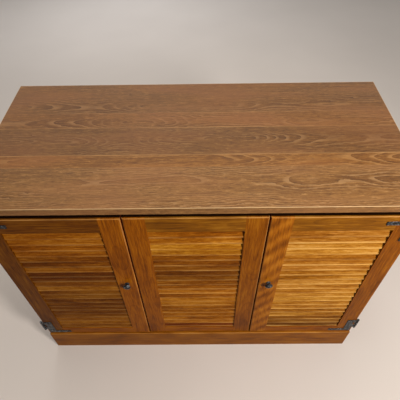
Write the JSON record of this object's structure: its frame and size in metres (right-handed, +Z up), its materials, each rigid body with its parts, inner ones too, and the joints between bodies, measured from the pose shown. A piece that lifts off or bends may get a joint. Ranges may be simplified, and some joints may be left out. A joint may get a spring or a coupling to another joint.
{
  "type": "tv stand with doors",
  "caption": "Low wooden console cabinet with a flat overhanging top, louvred swing doors either side of a fixed louvred panel, strap hinges and small round knobs.",
  "frame": {"origin": "on the floor under the middle of the whole object's box, knobs included", "axes": "+X to the right seen from the front, +Y from the front to the back, +Z up"},
  "size_m": [1.016, 0.49, 0.711],
  "materials": {
    "wood_laminate": "satin decorative laminate printed with brown wood grain",
    "backing_sheet": "plain brown backing laminate",
    "particle_board": "bare particle board",
    "stained_panel": "veneered panel, amber brown stain, satin lacquer",
    "bare_wood": "bare softwood",
    "stained_wood": "solid wood, amber brown stain, satin lacquer",
    "stained_slats": "thin solid slats, amber brown stain, satin lacquer",
    "hardboard": "pressed hardboard",
    "black_iron": "hammered black finish",
    "plain_steel": "bright zinc",
    "brown_plastic": "moulded brown plastic",
    "magnet": "dark ferrite"
  },
  "bodies": {
    "cabinet": {"back_nails": "plain_steel", "back_panel": "hardboard", "bottom_panel": "stained_panel", "case_dowels": "bare_wood", "catch_bodies": "brown_plastic", "catch_magnets": "magnet", "catch_screws": "plain_steel", "centre_bottom_rail": "stained_wood", "centre_left_stile": "stained_wood", "centre_panel_screws": "plain_steel", "centre_right_stile": "stained_wood", "centre_slats": "stained_slats", "centre_top_rail": "stained_wood", "corner_blocks": "bare_wood", "glue_wedges": "bare_wood", "left_case_hinge_leaves": "black_iron", "left_case_hinge_screws": "black_iron", "left_hinge_pins": "black_iron", "left_post": "bare_wood", "left_side_panel": "stained_panel", "rear_base_rail": "bare_wood", "right_case_hinge_leaves": "black_iron", "right_case_hinge_screws": "black_iron", "right_hinge_pins": "black_iron", "right_post": "bare_wood", "right_side_panel": "stained_panel", "shelf": "stained_panel", "shelf_pins": "plain_steel", "toe_board": "stained_wood", "top_back_rail": "bare_wood", "top_backer": "backing_sheet", "top_core": "particle_board", "top_edge_back": "wood_laminate", "top_edge_front": "wood_laminate", "top_edge_left": "wood_laminate", "top_edge_right": "wood_laminate", "top_front_rail": "bare_wood", "top_laminate": "wood_laminate", "top_screws": "plain_steel"},
    "left_door": {"left_door_bottom_rail": "stained_wood", "left_door_hinge_leaves": "black_iron", "left_door_hinge_screws": "black_iron", "left_door_hinge_stile": "stained_wood", "left_door_knob": "black_iron", "left_door_lock_stile": "stained_wood", "left_door_slats": "stained_slats", "left_door_top_rail": "stained_wood", "left_knob_screw": "plain_steel", "left_strike_plate": "plain_steel"},
    "right_door": {"right_door_bottom_rail": "stained_wood", "right_door_hinge_leaves": "black_iron", "right_door_hinge_screws": "black_iron", "right_door_hinge_stile": "stained_wood", "right_door_knob": "black_iron", "right_door_lock_stile": "stained_wood", "right_door_slats": "stained_slats", "right_door_top_rail": "stained_wood", "right_knob_screw": "plain_steel", "right_strike_plate": "plain_steel"}
  },
  "joints": [
    {"name": "left_door_hinge", "type": "hinge", "parent": "cabinet", "child": "left_door", "pos_m": [-0.491, -0.2308, 0.3893], "axis": [0, 0, -1], "range_deg": [0, 180]},
    {"name": "right_door_hinge", "type": "hinge", "parent": "cabinet", "child": "right_door", "pos_m": [0.491, -0.2308, 0.3893], "axis": [0, 0, 1], "range_deg": [0, 180]}
  ]
}
